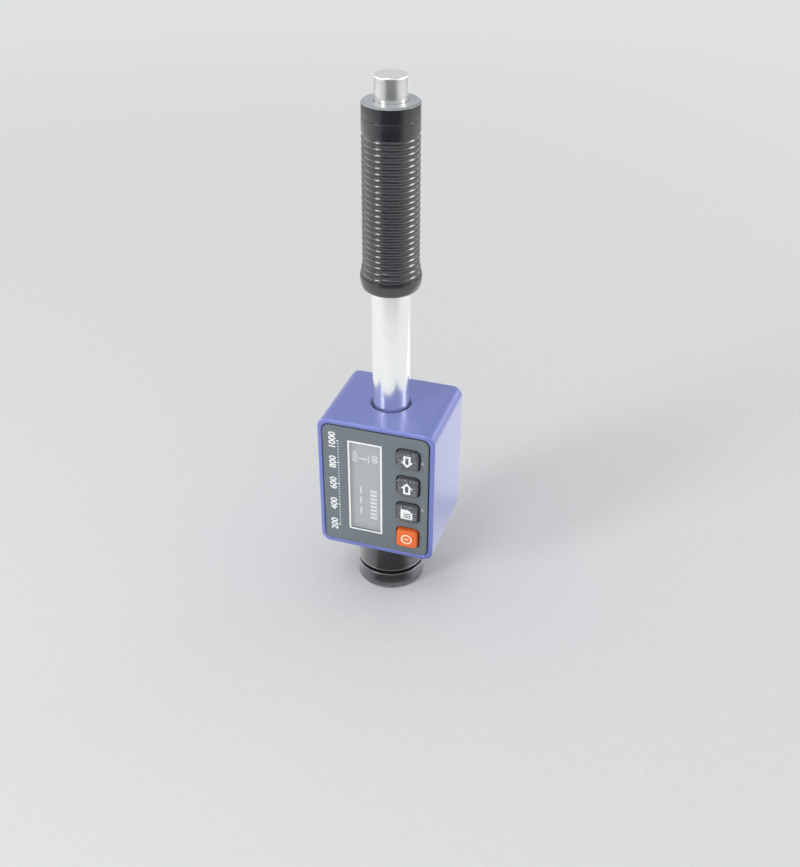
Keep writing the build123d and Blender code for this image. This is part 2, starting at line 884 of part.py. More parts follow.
cover_screw = screw(
    (0, 0),
    (cover_screw_head, 0),
    (cover_screw_radius, cover_screw_radius - cover_screw_head),
    (cover_screw_radius, -cover_screw_length),
    (0, -cover_screw_length),
)
with BuildPart() as cover_screws:
    with Locations(*[Plane((x, housing_back - cover_screw_recess, z), z_dir=(0, 1, 0)) for x, z in columns]):
        add(cover_screw)

board_screw = screw(
    (0, 0),
    (board_screw_head, 0),
    (board_screw_head, -board_screw_head_height),
    (board_screw_radius, -board_screw_head_height),
    (board_screw_radius, -board_screw_head_height - board_screw_length),
    (0, -board_screw_head_height - board_screw_length),
)
with BuildPart() as board_screws:
    head_top = board_front - board_screw_head_height
    with Locations(*[Plane((x, head_top, z), z_dir=(0, -1, 0)) for x, z in columns]):
        add(board_screw)

# Every piece is written under its own name
pieces = {
    "support_ring": support_ring.part,
    "nose_adapter": nose_adapter.part,
    "coil_housing": coil_housing.part,
    "collar_nut": collar_nut.part,
    "coil_bobbin": coil_bobbin.part,
    "induction_coil": induction_coil.part,
    "coil_lead": coil_lead.part,
    "guide_tube": guide_tube.part,
    "tube_seal": tube_seal.part,
    "stop_bush": stop_bush.part,
    "impact_body": impact_body.part,
    "ball_holder": ball_holder.part,
    "impact_ball": impact_ball.part,
    "impact_magnet": impact_magnet.part,
    "impact_spring": impact_spring,
    "catch_chuck": catch_chuck.part,
    "chuck_rod": chuck_rod.part,
    "release_pin": release_pin.part,
    "loading_spring": loading_spring,
    "loading_sleeve": loading_sleeve.part,
    "sleeve_bush": sleeve_bush.part,
    "sleeve_cap": sleeve_cap.part,
    "release_button": release_button.part,
    "button_spring": button_spring,
    "housing": housing.part,
    "front_panel": front_panel.part,
    "display_window": display_window.part,
    **keys,
    "lcd_module": lcd_module.part,
    "keypad_mat": keypad_mat.part,
    "main_board": main_board.part,
    "board_chips": board_chips.part,
    "board_screws": board_screws.part,
    "usb_socket": usb_socket.part,
    "battery": battery.part,
    "battery_pad": battery_pad.part,
    "battery_lead": battery_lead.part,
    "back_cover": back_cover.part,
    "cover_screws": cover_screws.part,
}
os.makedirs("parts", exist_ok=True)
for name, piece in pieces.items():
    piece.label = name
    export_step(piece, f"parts/{name}.step")
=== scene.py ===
# %% [markdown]
# A pen hardness tester is a small impact device: a ribbed sleeve loads a spring hammer inside a steel tube,
# and a boxed display around the tube shows how fast the hammer bounced back.
# The pieces come from a CAD model at their real size and stay where they are. This lesson gives each
# surface its finish, winds the hidden springs again, prints the marks on the panel and keys, and sets up
# the studio.
# %% Load the pieces
import math

import bmesh
import bpy
from mathutils import Matrix, Vector


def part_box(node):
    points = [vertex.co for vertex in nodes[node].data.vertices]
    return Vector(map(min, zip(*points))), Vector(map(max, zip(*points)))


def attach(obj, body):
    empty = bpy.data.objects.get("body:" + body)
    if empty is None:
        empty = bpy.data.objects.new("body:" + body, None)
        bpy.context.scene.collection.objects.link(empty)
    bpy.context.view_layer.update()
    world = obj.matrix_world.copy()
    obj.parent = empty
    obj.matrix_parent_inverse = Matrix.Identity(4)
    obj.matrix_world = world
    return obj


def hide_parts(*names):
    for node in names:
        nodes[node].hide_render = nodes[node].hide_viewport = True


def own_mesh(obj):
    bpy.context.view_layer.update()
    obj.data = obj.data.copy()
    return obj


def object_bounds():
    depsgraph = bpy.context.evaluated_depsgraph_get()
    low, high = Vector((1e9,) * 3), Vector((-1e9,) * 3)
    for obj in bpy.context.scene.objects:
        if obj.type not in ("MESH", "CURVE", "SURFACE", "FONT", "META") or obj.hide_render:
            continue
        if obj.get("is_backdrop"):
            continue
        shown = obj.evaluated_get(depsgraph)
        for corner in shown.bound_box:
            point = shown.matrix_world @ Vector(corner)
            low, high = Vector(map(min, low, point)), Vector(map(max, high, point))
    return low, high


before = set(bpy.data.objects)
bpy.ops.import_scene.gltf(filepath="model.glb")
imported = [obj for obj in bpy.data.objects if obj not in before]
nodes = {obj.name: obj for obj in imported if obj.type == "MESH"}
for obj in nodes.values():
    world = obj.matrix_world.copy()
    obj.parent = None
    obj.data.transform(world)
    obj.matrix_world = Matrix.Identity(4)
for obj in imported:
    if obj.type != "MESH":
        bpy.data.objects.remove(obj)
cad_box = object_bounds()
MM = 0.001
print(f"{len(nodes)} pieces, {(cad_box[1].z - cad_box[0].z) / MM:.1f} mm tall")

# %% [markdown]
# The camera looks down on the pen from the front and a little from the right.
# A camera can be turned with angles or with a look-at constraint. Here its three axes are worked out from
# azimuth, elevation and roll and put into the matrix, so the same numbers always give the same view. The
# lens comes from the focal length in pixels, and a small shift puts the camera's axis a little below the
# middle of the picture.
# %% Camera
CAMERA_AZIMUTH = math.radians(17.727)
CAMERA_ELEVATION = math.radians(34.308)
CAMERA_ROLL = math.radians(0.27)
CAMERA_PLACE = Vector((79.974, -241.97, 215.388)) * MM
PICTURE_SIZE = (800, 867)
FOCAL_PIXELS = 1080.0
AXIS_ROW = 455.46
NEAR_LIMIT = 5 * MM

scene = bpy.context.scene
level = Vector((math.cos(CAMERA_AZIMUTH), math.sin(CAMERA_AZIMUTH), 0))
ahead = Vector((math.sin(CAMERA_AZIMUTH), -math.cos(CAMERA_AZIMUTH), 0))
back = ahead * math.cos(CAMERA_ELEVATION) + Vector((0, 0, math.sin(CAMERA_ELEVATION)))
upright = back.cross(level)
right = level * math.cos(CAMERA_ROLL) + upright * math.sin(CAMERA_ROLL)
up = upright * math.cos(CAMERA_ROLL) - level * math.sin(CAMERA_ROLL)
lens = bpy.data.cameras.new("camera")
lens.lens = FOCAL_PIXELS * lens.sensor_width / max(PICTURE_SIZE)
lens.shift_y = (AXIS_ROW - PICTURE_SIZE[1] / 2) / max(PICTURE_SIZE)
lens.clip_start = NEAR_LIMIT
camera = bpy.data.objects.new("camera", lens)
camera.matrix_world = Matrix.Translation(CAMERA_PLACE) @ Matrix((right, up, back)).transposed().to_4x4()
scene.collection.objects.link(camera)
scene.camera = camera
scene.view_settings.view_transform = "Standard"
print(f"camera {lens.lens:.1f} mm lens, shift {lens.shift_y:.4f}")

# %% [markdown]
# A finish is one Principled shader and a few texture nodes. Nodes can be placed by hand in the shader editor.
# In a script, small helpers keep it readable: one starts a finish, one adds a node and sets its sockets by
# name, and one joins two sockets.
# %% Helpers for finishes


def set_sockets(node, sockets):
    """Sets input sockets by name, with underscores for the spaces in their names."""
    for socket, value in sockets.items():
        node.inputs[socket.replace("_", " ")].default_value = value


def shader_of(material):
    return material.node_tree.nodes["Principled BSDF"]


def finish(name, colour, roughness, **sockets):
    """A material with one Principled shader, whose further sockets are set by name."""
    material = bpy.data.materials.new(name)
    material.use_nodes = True
    set_sockets(shader_of(material), {"Base_Color": (*colour, 1), "Roughness": roughness, **sockets})
    return material


def add_node(material, kind, **sockets):
    """A new node of that kind, with its input sockets set by name."""
    made = material.node_tree.nodes.new("ShaderNode" + kind)
    set_sockets(made, sockets)
    return made


def join(material, source, target):
    material.node_tree.links.new(source, target)


# %% [markdown]
# No real surface is one even colour. A grain could be painted into an image, but an image has a size and
# seams. A noise texture is worked out at each point in the piece's own space and has neither.
# These helpers turn a noise value into shades, roughness or bumps, and dress gives a finish to pieces by
# their names. Texture scales are counted per metre, because the object is in metres.
# %% Helpers for grain and gloss
# A Mix node has sockets for every kind of data. These are the ones for colours.
DARK_SOCKET, LIGHT_SOCKET, COLOUR_RESULT = 6, 7, 2


def noise(material, scale, detail=2.0, stretch=(1, 1, 1)):
    """The value of a noise texture in the piece's own space, drawn out along the axes by stretch."""
    place = add_node(material, "TexCoord")
    mapping = add_node(material, "Mapping", Scale=stretch)
    texture = add_node(material, "TexNoise", Scale=scale, Detail=detail)
    join(material, place.outputs["Object"], mapping.inputs["Vector"])
    join(material, mapping.outputs["Vector"], texture.inputs["Vector"])
    return texture.outputs["Fac"]


def spread(material, value, low, high, start=0.3, end=0.7):
    """A noise value drawn out from start and end to the numbers low and high."""
    ramp = add_node(material, "MapRange", From_Min=start, From_Max=end, To_Min=low, To_Max=high)
    join(material, value, ramp.inputs["Value"])
    return ramp.outputs["Result"]


def mottle(material, value, dark, light, start=0.3, end=0.7):
    """The base colour runs from dark to light with a noise value."""
    blend = add_node(material, "Mix")
    blend.data_type = "RGBA"
    blend.inputs[DARK_SOCKET].default_value = (*dark, 1)
    blend.inputs[LIGHT_SOCKET].default_value = (*light, 1)
    join(material, spread(material, value, 0, 1, start, end), blend.inputs["Factor"])
    join(material, blend.outputs[COLOUR_RESULT], shader_of(material).inputs["Base Color"])


def roughen(material, value, low, high):
    """The roughness runs from low to high with a noise value."""
    join(material, spread(material, value, low, high), shader_of(material).inputs["Roughness"])


def emboss(material, value, depth, edge=0.0):
    """Bumps of that depth from a noise value, over edges that are rounded by the radius edge."""
    bump = add_node(material, "Bump", Strength=1.0, Distance=depth)
    join(material, value, bump.inputs["Height"])
    if edge:
        rounding = add_node(material, "Bevel", Radius=edge)
        join(material, rounding.outputs["Normal"], bump.inputs["Normal"])
    join(material, bump.outputs["Normal"], shader_of(material).inputs["Normal"])


def dress(material, *names):
    """The CAD nodes of those names take this finish."""
    for name in names:
        nodes[name].data.materials.clear()
        nodes[name].data.materials.append(material)
    print(f"{material.name}: {', '.join(names)}")


# %% [markdown]
# The box is cut from an aluminium extrusion, blasted with fine beads and anodised blue-violet. Blasting
# leaves tiny dimples that spread the reflections, the dye tints them, and the sealed layer on top adds a
# pale sheen at a glance.
# A picture of the grain could be wrapped on, but it would blur up close. Fine noise for the dimples, slow
# noise for the dye, a clear coat and a rounded edge in the shader hold up at any distance.
# %% Blue anodised box
blue = finish("blue_anodised", (0.172, 0.206, 0.58), 0.45, Metallic=0.4, Specular_Tint=(1, 0.96, 0.6, 1),
              Coat_Weight=1.0, Coat_Roughness=0.35)
mottle(blue, noise(blue, 700, 3), (0.168, 0.202, 0.565), (0.178, 0.213, 0.595))
roughen(blue, noise(blue, 900, 2), 0.4, 0.5)
emboss(blue, noise(blue, 5200, 2), 0.02 * MM, edge=0.25 * MM)
dress(blue, "housing", "back_cover")

# %% [markdown]
# Many pieces come from a lathe: the satin guide tube, the aluminium button, the brass bushes, and the
# hardened hammer and rods inside. A lathe or grinding wheel leaves fine rings round the axis.
# The rings could be modelled as grooves, but they are far smaller than a pixel. Noise that is drawn out
# round the axis gives the same streaky gloss, so one helper makes every turned metal from two shades and a
# roughness.
# %% Turned metals
RINGS = (0.02, 0.02, 1)
RING_DEPTH = 0.0001 * MM


def turned(name, dark, light, roughness, *pieces):
    """A turned metal, streaked round the axis between two shades."""
    metal = finish(name, light, roughness, Metallic=1.0)
    mottle(metal, noise(metal, 8000, 2, RINGS), dark, light)
    roughen(metal, noise(metal, 5200, 2, RINGS), 0.9 * roughness, 1.1 * roughness)
    emboss(metal, noise(metal, 12000, 2, RINGS), RING_DEPTH, edge=0.15 * MM)
    dress(metal, *pieces)


turned("satin_steel", (0.82, 0.83, 0.82), (0.86, 0.87, 0.86), 0.2, "guide_tube")
turned("satin_aluminium", (0.81, 0.81, 0.8), (0.86, 0.86, 0.85), 0.24, "release_button")
turned("hard_steel", (0.44, 0.44, 0.45), (0.52, 0.52, 0.53), 0.24,
       "impact_body", "ball_holder", "catch_chuck", "chuck_rod", "release_pin")
turned("brass", (0.6, 0.44, 0.2), (0.7, 0.52, 0.25), 0.24, "collar_nut", "stop_bush", "sleeve_bush")
turned("nickel", (0.6, 0.58, 0.54), (0.68, 0.66, 0.62), 0.16, "impact_magnet")
turned("carbide", (0.26, 0.26, 0.27), (0.32, 0.32, 0.33), 0.1, "impact_ball")
turned("screw_steel", (0.5, 0.5, 0.5), (0.6, 0.6, 0.6), 0.34, "board_screws", "cover_screws")

# %% [markdown]
# The grip is glossy black, handled a lot, so the gloss is a little uneven. The ribs are real rings in the
# CAD model, so the finish only needs depth: a dark base, a strong gloss and faint smears in the roughness.
# The cap is as black round its side, and its top is a rougher satin painted pale grey: that pale grey is a
# painted sheen for the light the top catches. Two materials could be put on different faces. Here the
# upward part of the rounded normal is the mask, so the change follows the edge by itself.
# %% Black grip and its cap
GRIP_BLACK = (0.012, 0.012, 0.017)
# The pale grey of the cap's top, a painted sheen.
PAINTED_TOP_SHEEN = (0.36, 0.38, 0.38)
GRIP_EDGE = 0.12 * MM
GRIP_BUMPS = 0.001 * MM


def facing_up(material, edge):
    """How far a surface faces up, from 0 to 1, over edges that are rounded by the radius edge."""
    rounding = add_node(material, "Bevel", Radius=edge)
    parts = add_node(material, "SeparateXYZ")
    join(material, rounding.outputs["Normal"], parts.inputs["Vector"])
    return parts.outputs["Z"]


black = finish("grip_black", GRIP_BLACK, 0.15, Specular_IOR_Level=1.0)
mottle(black, noise(black, 300, 3), (0.009, 0.009, 0.013), (0.015, 0.015, 0.02))
roughen(black, noise(black, 420, 4), 0.17, 0.24)
emboss(black, noise(black, 1500, 2), GRIP_BUMPS, edge=GRIP_EDGE)
dress(black, "loading_sleeve")

cap = finish("cap_black", GRIP_BLACK, 0.15, Specular_IOR_Level=1.0)
# The pale top is a painted sheen, mixed in by how far the surface faces up.
upward = facing_up(cap, GRIP_EDGE)
mottle(cap, upward, GRIP_BLACK, PAINTED_TOP_SHEEN, 0.3, 0.8)
roughen(cap, upward, 0.15, 0.36)
emboss(cap, noise(cap, 1500, 2), GRIP_BUMPS, edge=GRIP_EDGE)
dress(cap, "sleeve_cap")

# %% [markdown]
# The nose is turned from metal and blackened, a little duller than the grip. Its sharp edges are painted a
# paler grey, partly for rubbing by handling and partly as a painted highlight. A thin pale line round the
# foot of the collar is a painted reflection, and the faint pale streaks up its sides are partly marks of
# handling and partly painted reflections.
# Worn edges are often painted by hand. Here the shader compares the rounded normal of a Bevel node with the
# flat one: they differ only near an edge, so the difference is a ready mask. The line and the streaks are
# added to it, and fine noise breaks it up.
# %% Black nose
NOSE_BLACK = (0.16, 0.16, 0.17)
# The pale grey of worn edges and painted highlights, and the heights of a painted reflection line at the
# collar's foot.
RUBBED_AND_HIGHLIGHT_GREY = (0.6, 0.6, 0.61)
REFLECTION_LINE_LOW, REFLECTION_LINE_HIGH = 0.4 * MM, 0.75 * MM


def reckon(material, operation, first, second):
    """The value of a Math node that works on two other values."""
    made = add_node(material, "Math")
    made.operation = operation
    for socket, value in zip(made.inputs, (first, second)):
        join(material, value, socket)
    return made.outputs["Value"]


def height_band(material, low, high):
    """1 between two heights on the pen and 0 elsewhere."""
    place = add_node(material, "TexCoord")
    parts = add_node(material, "SeparateXYZ")
    near = add_node(material, "Math")
    near.operation = "COMPARE"
    near.inputs[1].default_value = (low + high) / 2
    near.inputs[2].default_value = (high - low) / 2
    join(material, place.outputs["Object"], parts.inputs["Vector"])
    join(material, parts.outputs["Z"], near.inputs[0])
    return near.outputs["Value"]


def wear(material, edge, dark, light, amount, rubbed_and_reflected):
    """Edges, and what the other mask covers, turn from dark to light by up to that amount.
    The pale is partly from handling and partly a painted highlight and reflection.
    """
    rounding = add_node(material, "Bevel", Radius=edge)
    surface = add_node(material, "NewGeometry")
    match = add_node(material, "VectorMath")
    match.operation = "DOT_PRODUCT"
    join(material, rounding.outputs["Normal"], match.inputs[0])
    join(material, surface.outputs["Normal"], match.inputs[1])
    # Edges are lightened partly for handling and partly as a painted highlight.
    edges = spread(material, match.outputs["Value"], amount, 0, 0.8, 0.98)
    mask = reckon(material, "MAXIMUM", edges, rubbed_and_reflected)
    broken = reckon(material, "MULTIPLY", mask, spread(material, noise(material, 2400, 3), 0.4, 1))
    mottle(material, broken, dark, light, 0, 1)


nose = finish("nose_black", NOSE_BLACK, 0.3, Metallic=0.9)
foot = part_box("coil_housing")[0].z
# A thin pale ring at the collar's foot: a painted reflection.
line = height_band(nose, foot + REFLECTION_LINE_LOW, foot + REFLECTION_LINE_HIGH)
# Faint pale streaks up the sides: partly from handling, partly painted reflections.
rubbed_and_reflection_streaks = spread(nose, noise(nose, 260, 3, (1, 1, 0.3)), 0, 0.1, 0.45, 0.7)
wear(nose, 0.25 * MM, NOSE_BLACK, RUBBED_AND_HIGHLIGHT_GREY, 0.8, reckon(nose, "MAXIMUM", line, rubbed_and_reflection_streaks))
roughen(nose, noise(nose, 5000, 3, RINGS), 0.29, 0.37)
emboss(nose, noise(nose, 4200, 2, RINGS), 0.004 * MM, edge=0.2 * MM)
dress(nose, "coil_housing", "nose_adapter", "support_ring")

# %% [markdown]
# The front panel is a dark grey plastic film with an even gloss. Under it lie the keypad mat and, around the
# tube's foot, a soft dark seal. Moulded plastic and rubber differ in grain and gloss more than in colour.
# Each could be a finish of its own. They share one helper instead, which takes two shades, a roughness, the
# size of the grain and how deep it is.
# %% Moulded pieces


def moulded(name, dark, light, roughness, grain, depth, *pieces, edge=0.1 * MM, span=(0.3, 0.7)):
    """A moulded plastic or rubber with a grain of that many bumps a metre."""
    plastic = finish(name, light, roughness)
    bumps = noise(plastic, grain, 2)
    mottle(plastic, bumps, dark, light, *span)
    roughen(plastic, noise(plastic, 700, 2), 0.85 * roughness, 1.15 * roughness)
    emboss(plastic, bumps, depth, edge)
    dress(plastic, *pieces)


moulded("panel_film", (0.142, 0.172, 0.19), (0.15, 0.18, 0.198), 0.34, 2400, 0.002 * MM, "front_panel")
moulded("mat_plastic", (0.02, 0.02, 0.022), (0.032, 0.032, 0.034), 0.6, 3000, 0.01 * MM, "keypad_mat")
moulded("seal_rubber", (0.05, 0.05, 0.055), (0.075, 0.075, 0.08), 0.55, 2600, 0.008 * MM, "tube_seal")
moulded("bobbin_plastic", (0.5, 0.46, 0.36), (0.58, 0.54, 0.43), 0.45, 1800, 0.004 * MM, "coil_bobbin")
moulded("lead_plastic", (0.36, 0.02, 0.02), (0.46, 0.03, 0.03), 0.4, 2000, 0.004 * MM,
        "battery_lead", "coil_lead")
moulded("foam_pad", (0.05, 0.05, 0.055), (0.11, 0.11, 0.12), 0.9, 2800, 0.08 * MM, "battery_pad")

# %% [markdown]
# The keys are moulded rubber with a grain that sparkles a little, three dark grey and one orange.
# A speckle could be painted, but the same noise that lifts the grain can shade it, so bumps and colour agree.
# %% Rubber keys
moulded("key_rubber", (0.075, 0.078, 0.088), (0.45, 0.47, 0.5), 0.5, 2600, 0.03 * MM,
        "key_down", "key_up", "key_page", edge=0.3 * MM, span=(0.52, 0.78))
moulded("power_rubber", (0.78, 0.13, 0.02), (0.87, 0.175, 0.03), 0.5, 3400, 0.02 * MM,
        "key_power", edge=0.3 * MM)

# %% [markdown]
# The display is grey glass that is faintly lit from behind, and the window over it is smoky hard plastic.
# Clear plastic can be made by refraction, which is slow and noisy in a thin pane. A low alpha keeps the
# gloss, lets the display show through and exports well. A little emission is enough for the backlight.
# %% Window and display
pane = finish("window_plastic", (0.4, 0.42, 0.43), 0.08, Alpha=0.15, IOR=1.49)
mottle(pane, noise(pane, 500, 3), (0.39, 0.41, 0.42), (0.42, 0.44, 0.45))
roughen(pane, noise(pane, 300, 3), 0.06, 0.11)
dress(pane, "display_window")

# The glow stands for a backlight, and it also evens out the shade that the window's deep recess casts on the
# display.
display = finish("lcd_glass", (0.24, 0.25, 0.26), 0.3,
                 Emission_Color=(0.95, 0.98, 1, 1), Emission_Strength=0.27)
mottle(display, noise(display, 5200, 1), (0.21, 0.22, 0.23), (0.27, 0.28, 0.29))
roughen(display, noise(display, 800, 2), 0.3, 0.4)
dress(display, "lcd_module")

# %% [markdown]
# The circuit board, chips, battery, coil and socket hide inside the box, but the model can be opened.
# They could stay plain, but they get the same care: a green board with copper showing faintly through, a
# wrinkled foil pouch, wound copper wire.
# %% Electronics
moulded("chip_plastic", (0.016, 0.016, 0.017), (0.026, 0.026, 0.027), 0.5, 4000, 0.004 * MM, "board_chips")

laminate = finish("board_laminate", (0.02, 0.14, 0.05), 0.35)
tracks = noise(laminate, 420, 1, (1, 1, 0.2))
mottle(laminate, tracks, (0.016, 0.11, 0.04), (0.05, 0.2, 0.07), 0.48, 0.52)
roughen(laminate, noise(laminate, 1500, 2), 0.28, 0.42)
dress(laminate, "main_board")

foil = finish("battery_pouch", (0.7, 0.71, 0.72), 0.32, Metallic=0.8)
mottle(foil, noise(foil, 120, 3), (0.64, 0.65, 0.66), (0.74, 0.75, 0.76))
emboss(foil, noise(foil, 260, 3), 0.12 * MM)
dress(foil, "battery")

wire = finish("coil_copper", (0.7, 0.28, 0.12), 0.3, Metallic=1.0)
windings = noise(wire, 4200, 1, RINGS)
mottle(wire, windings, (0.5, 0.18, 0.08), (0.8, 0.35, 0.16))
emboss(wire, windings, 0.06 * MM)
dress(wire, "induction_coil")

shell = finish("socket_steel", (0.62, 0.62, 0.62), 0.26, Metallic=1.0)
streaks = noise(shell, 900, 2, (1, 1, 0.1))
mottle(shell, streaks, (0.56, 0.56, 0.56), (0.68, 0.68, 0.68))
roughen(shell, streaks, 0.29, 0.37)
dress(shell, "usb_socket")

# %% [markdown]
# Three coil springs work inside: one returns the sleeve, one throws the hammer and one returns the button.
# They are wound from drawn steel wire, which is smooth but not evenly bright.
# Wound springs and printed marks start as curves, because a curve is easily drawn point by point. Only
# meshes are exported, so one helper turns a curve into a mesh, and one places it on the body it moves with.
# %% Spring wire
spring_wire = finish("spring_steel", (0.42, 0.42, 0.43), 0.25, Metallic=1.0)
mottle(spring_wire, noise(spring_wire, 900, 2), (0.36, 0.36, 0.37), (0.48, 0.48, 0.49))
roughen(spring_wire, noise(spring_wire, 1500, 2), 0.2, 0.32)
dress(spring_wire, "loading_spring", "impact_spring", "button_spring")


def mesh_of(curve):
    """A curve or text as a mesh. The curve itself is dropped."""
    holder = bpy.data.objects.new(curve.name, curve)
    mesh = bpy.data.meshes.new_from_object(holder)
    bpy.data.objects.remove(holder)
    return mesh


def place_piece(name, mesh, material, body):
    """A new piece of that mesh, which moves with a body."""
    mesh.materials.clear()
    mesh.materials.append(material)
    piece = bpy.data.objects.new(name, mesh)
    scene.collection.objects.link(piece)
    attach(piece, body)
    return piece


# %% [markdown]
# A spring gets shorter when the pen is loaded, which a rigid CAD solid can't do. It could be drawn again for
# each position.
# Here a curve with a round bevel winds it once over its CAD solid, which is hidden. The numbers of turns and
# the wire are those of the CAD springs.
# %% Springs
POINTS_A_TURN = 24
WIRE_ROUNDNESS = 3


def wind(node, turns, wire_width, body):
    """A spring wound over its CAD solid, which it hides, moving with a body."""
    low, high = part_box(node)
    radius = (high.x - low.x - wire_width) / 2
    rise = high.z - low.z - wire_width
    helix = bpy.data.curves.new(node + "_coil", "CURVE")
    helix.dimensions = "3D"
    helix.bevel_depth = wire_width / 2
    helix.bevel_resolution = WIRE_ROUNDNESS
    helix.use_fill_caps = True
    line = helix.splines.new("POLY")
    steps = turns * POINTS_A_TURN
    line.points.add(steps)
    for step, point in enumerate(line.points):
        angle = 2 * math.pi * step / POINTS_A_TURN
        height = low.z + wire_width / 2 + rise * step / steps
        point.co = (radius * math.cos(angle), radius * math.sin(angle), height, 1)
    spring = place_piece(node + "_coil", mesh_of(helix), spring_wire, body)
    spring.data.shade_smooth()
    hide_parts(node)
    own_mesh(spring)
    print(f"{node}: {turns} turns, {radius / MM:.1f} mm radius, {rise / MM:.1f} mm long")


wind("loading_spring", 9, 0.6 * MM, "housing")
wind("impact_spring", 9, 0.4 * MM, "housing")
wind("button_spring", 5, 0.5 * MM, "sleeve")

# %% [markdown]
# The marks on the front are screen printed: a white frame round the window, a plain scale beside it, and
# signs on the keys. A print could be an image on the surface, but it would blur up close.
# Here each mark is a flat outline that Blender fills, a few hundredths of a millimetre thick. An outline
# inside another leaves a hole, so a frame is just two rectangles. Places are in millimetres across and up
# the front.
# %% Helpers for outlines
INK_THICKNESS = 0.03 * MM
READ_UPWARDS = Matrix.Rotation(math.radians(90), 4, "Z")
# A digit's height as a share of the font size, and what its strokes gain as a share of its height.
DIGIT_SHARE = 0.7
BOLDNESS = 0.035


def filled(outlines):
    """Closed outlines in millimetres, filled as one flat mesh."""
    drawing = bpy.data.curves.new("drawing", "CURVE")
    drawing.dimensions = "2D"
    drawing.fill_mode = "BOTH"
    drawing.extrude = INK_THICKNESS / 2
    for outline in outlines:
        line = drawing.splines.new("POLY")
        line.points.add(len(outline) - 1)
        for point, (x, z) in zip(line.points, outline):
            point.co = (x * MM, z * MM, 0, 1)
        line.use_cyclic_u = True
    return mesh_of(drawing)


def numeral(text, height, x, z):
    """A plain number that reads upwards, centred at x and z, with digits of about that height."""
    lettering = bpy.data.curves.new("numeral", "FONT")
    lettering.body = text
    lettering.size = height / DIGIT_SHARE * MM
    lettering.extrude = INK_THICKNESS / 2
    lettering.offset = BOLDNESS * height * MM
    lettering.align_x = "CENTER"
    lettering.align_y = "CENTER"
    mesh = mesh_of(lettering)
    mesh.transform(Matrix.Translation((x * MM, z * MM, 0)) @ READ_UPWARDS)
    return mesh


def rectangle(x, z, width, height):
    """The outline of a rectangle with its middle at x and z."""
    corners = ((-1, -1), (1, -1), (1, 1), (-1, 1))
    return [(x + a * width / 2, z + b * height / 2) for a, b in corners]


def ring(x, z, radius, points=48):
    """The outline of a circle."""
    turns = [2 * math.pi * point / points for point in range(points)]
    return [(x + radius * math.cos(turn), z + radius * math.sin(turn)) for turn in turns]


def inset(outline, width):
    """The same outline drawn further in by that width. Its points run anticlockwise."""
    drawn = []
    for before, corner, after in zip(outline[-1:] + outline[:-1], outline, outline[1:] + outline[:1]):
        arrive = (Vector(corner) - Vector(before)).normalized()
        leave = (Vector(after) - Vector(corner)).normalized()
        inward = Vector((-arrive.y, arrive.x)) + Vector((-leave.y, leave.x))
        drawn.append(tuple(Vector(corner) + inward * width / (1 + arrive.dot(leave))))
    return drawn


# %% [markdown]
# Printing ink is matt and covers a little unevenly. One print could be many small objects, but then each
# needs its own place on the pen. Joined into one mesh, a print is one piece, which is stood upright, moved
# to the front of what carries it and rides on the same body.
# %% Helpers for ink
FACE_FRONT = Matrix.Rotation(math.radians(90), 4, "X")


def ink_of(name, colour, **sockets):
    """A printing ink: matt, slightly uneven in cover."""
    ink = finish(name, colour, 0.5, **sockets)
    mottle(ink, noise(ink, 3000, 2), [0.93 * shade for shade in colour], colour)
    roughen(ink, noise(ink, 1500, 2), 0.42, 0.58)
    return ink


def print_on(name, meshes, node, body, ink):
    """Joins the meshes into one print on the front face of a node."""
    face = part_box(node)[0].y
    joined = bmesh.new()
    for mesh in meshes:
        joined.from_mesh(mesh)
        bpy.data.meshes.remove(mesh)
    sheet = bpy.data.meshes.new(name)
    joined.to_mesh(sheet)
    joined.free()
    sheet.transform(Matrix.Translation((0, face, 0)) @ FACE_FRONT)
    place_piece(name, sheet, ink, body)
    print(f"{name}: {len(sheet.polygons)} faces on {node}")


# %% [markdown]
# The frame follows the edge of the window, so its size is read from the window itself. Beside it stands a
# plain scale with numbers that read upwards, and two small pale triangles mark two of the keys.
# The ticks could be drawn one by one, but a loop keeps them even.
# %% Prints on the panel
white_ink = ink_of("white_ink", (0.9, 0.92, 0.91))
faint_ink = ink_of("faint_ink", (0.4, 0.42, 0.43))
FRAME_LINE = 0.5

low, high = [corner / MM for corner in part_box("display_window")]
middle = (low + high) / 2
edge = rectangle(middle.x, middle.z, high.x - low.x, high.z - low.z)
border = filled([edge, inset(edge, FRAME_LINE)])
print_on("window_frame", [border], "display_window", "housing", white_ink)

SCALE_FOOT, SCALE_TOP = 24.6, 53.2
SCALE_NUMBERS = range(200, 1001, 200)
SCALE_LINE = -10.4
DIGIT_HEIGHT, DIGIT_GAP = 1.9, 1.85
LONG_TICK = (0.7, 0.35)
SHORT_TICK = (0.4, 0.25)
TICKS_A_STEP = 8
step = (SCALE_TOP - SCALE_FOOT) / (len(SCALE_NUMBERS) - 1)


def tick(rung, length, width):
    """A tick at that height, which ends on the line of the scale."""
    return filled([rectangle(SCALE_LINE - length / 2, rung, length, width)])


marks = []
for count, number in enumerate(SCALE_NUMBERS):
    rung = SCALE_FOOT + count * step
    marks.append(numeral(str(number), DIGIT_HEIGHT, SCALE_LINE - DIGIT_GAP, rung))
    marks.append(tick(rung, *LONG_TICK))
for count in range((len(SCALE_NUMBERS) - 1) * TICKS_A_STEP):
    if count % TICKS_A_STEP:
        marks.append(tick(SCALE_FOOT + count * step / TICKS_A_STEP, *SHORT_TICK))
print_on("panel_scale", marks, "front_panel", "housing", white_ink)

TRIANGLES = ((13.5, 50.9), (13.7, 35.4))
signs = [filled([[(x - 0.6, z - 0.5), (x + 0.6, z - 0.5), (x, z + 0.6)]]) for x, z in TRIANGLES]
print_on("panel_triangles", signs, "front_panel", "housing", faint_ink)

